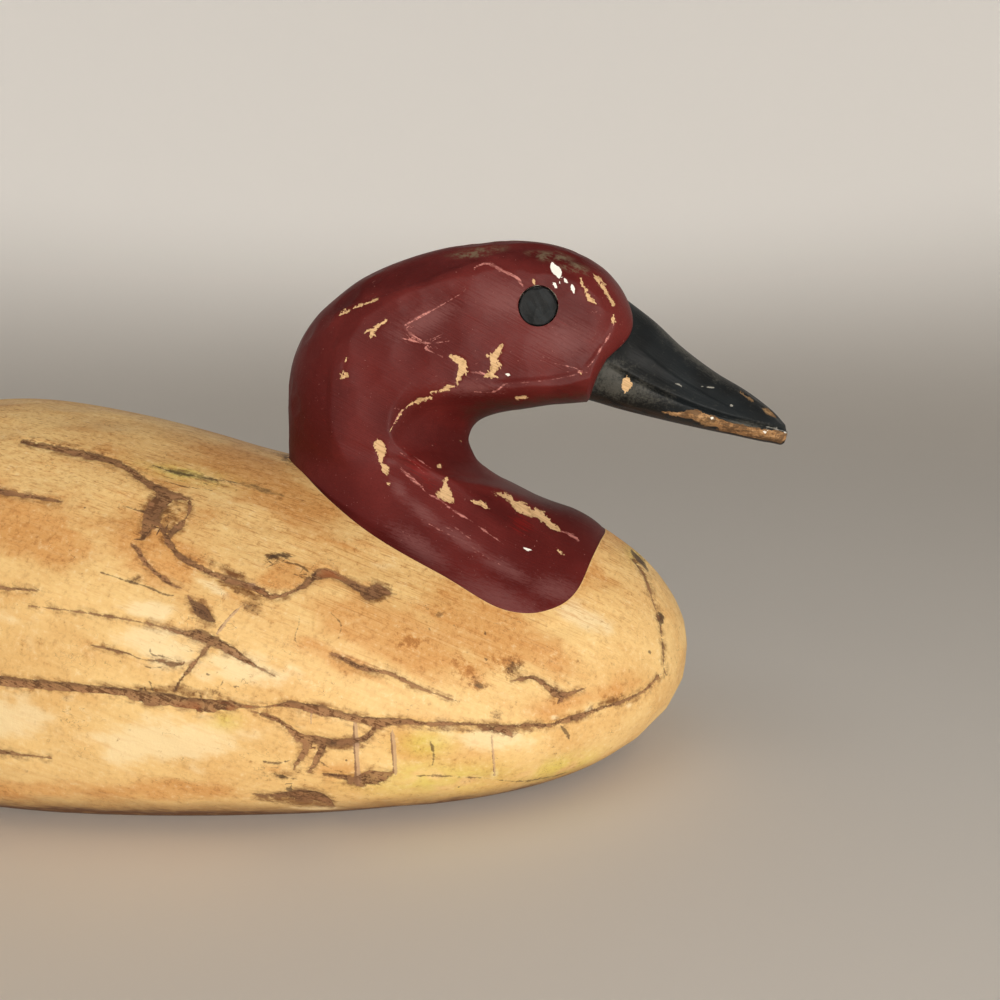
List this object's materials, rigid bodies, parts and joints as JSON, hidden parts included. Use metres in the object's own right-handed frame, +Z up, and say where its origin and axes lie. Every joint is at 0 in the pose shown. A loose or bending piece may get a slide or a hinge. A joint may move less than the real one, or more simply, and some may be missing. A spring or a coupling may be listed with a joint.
{
  "type": "duck decoy",
  "caption": "Carved wooden duck decoy: a flat-bottomed cream body, and a burgundy head and neck in one with a black bill.",
  "frame": {"origin": "on the ground, under the middle of the whole length and width", "axes": "+X towards the bill, +Y to the bird's left side, +Z up"},
  "size_m": [0.425, 0.152, 0.184],
  "materials": {
    "body_paint": "worn cream paint, crazed and cracked",
    "head_paint": "worn burgundy paint, satin, with a black bill",
    "eye_peg": "black paint on a cut wooden peg"
  },
  "bodies": {
    "root": {"body": "body_paint", "head_and_neck": "head_paint", "eye_right": "eye_peg", "eye_left": "eye_peg"}
  },
  "joints": []
}
